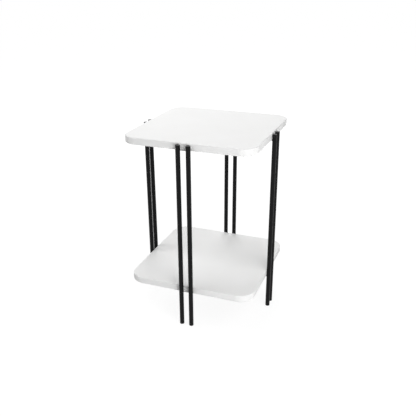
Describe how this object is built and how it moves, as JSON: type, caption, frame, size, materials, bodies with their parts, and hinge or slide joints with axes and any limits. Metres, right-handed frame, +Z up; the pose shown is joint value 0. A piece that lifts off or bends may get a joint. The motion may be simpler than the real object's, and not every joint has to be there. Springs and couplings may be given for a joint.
{
  "type": "end table with shelf",
  "caption": "Square end table: top board and low shelf with rounded corners, carried by pairs of slim upright tubes at the middle of each side.",
  "frame": {"origin": "on the floor, under the middle of the table", "axes": "+Z up; the front tube pair is towards -Y and the right pair towards +X"},
  "size_m": [0.3742, 0.3742, 0.509],
  "materials": {
    "faced_chipboard": "satin white melamine facing on chipboard",
    "edge_band": "satin white ABS edge band with rounded arrises",
    "black_powder_coat": "semi-gloss black powder coat",
    "black_plastic": "fine matt black polyethylene",
    "zinc_plated_steel": "bright zinc plating"
  },
  "bodies": {
    "root": {"front_left_cap": "black_plastic", "front_left_foot": "black_plastic", "front_left_tube": "black_powder_coat", "front_lower_bracket": "black_powder_coat", "front_lower_screws": "zinc_plated_steel", "front_right_cap": "black_plastic", "front_right_foot": "black_plastic", "front_right_tube": "black_powder_coat", "front_upper_bracket": "black_powder_coat", "front_upper_screws": "zinc_plated_steel", "front_welds": "black_powder_coat", "left_front_cap": "black_plastic", "left_front_foot": "black_plastic", "left_front_tube": "black_powder_coat", "left_lower_bracket": "black_powder_coat", "left_lower_screws": "zinc_plated_steel", "left_rear_cap": "black_plastic", "left_rear_foot": "black_plastic", "left_rear_tube": "black_powder_coat", "left_upper_bracket": "black_powder_coat", "left_upper_screws": "zinc_plated_steel", "left_welds": "black_powder_coat", "rear_left_cap": "black_plastic", "rear_left_foot": "black_plastic", "rear_left_tube": "black_powder_coat", "rear_lower_bracket": "black_powder_coat", "rear_lower_screws": "zinc_plated_steel", "rear_right_cap": "black_plastic", "rear_right_foot": "black_plastic", "rear_right_tube": "black_powder_coat", "rear_upper_bracket": "black_powder_coat", "rear_upper_screws": "zinc_plated_steel", "rear_welds": "black_powder_coat", "right_front_cap": "black_plastic", "right_front_foot": "black_plastic", "right_front_tube": "black_powder_coat", "right_lower_bracket": "black_powder_coat", "right_lower_screws": "zinc_plated_steel", "right_rear_cap": "black_plastic", "right_rear_foot": "black_plastic", "right_rear_tube": "black_powder_coat", "right_upper_bracket": "black_powder_coat", "right_upper_screws": "zinc_plated_steel", "right_welds": "black_powder_coat", "shelf_core": "faced_chipboard", "shelf_edge_band": "edge_band", "top_board_core": "faced_chipboard", "top_board_edge_band": "edge_band"}
  },
  "joints": []
}
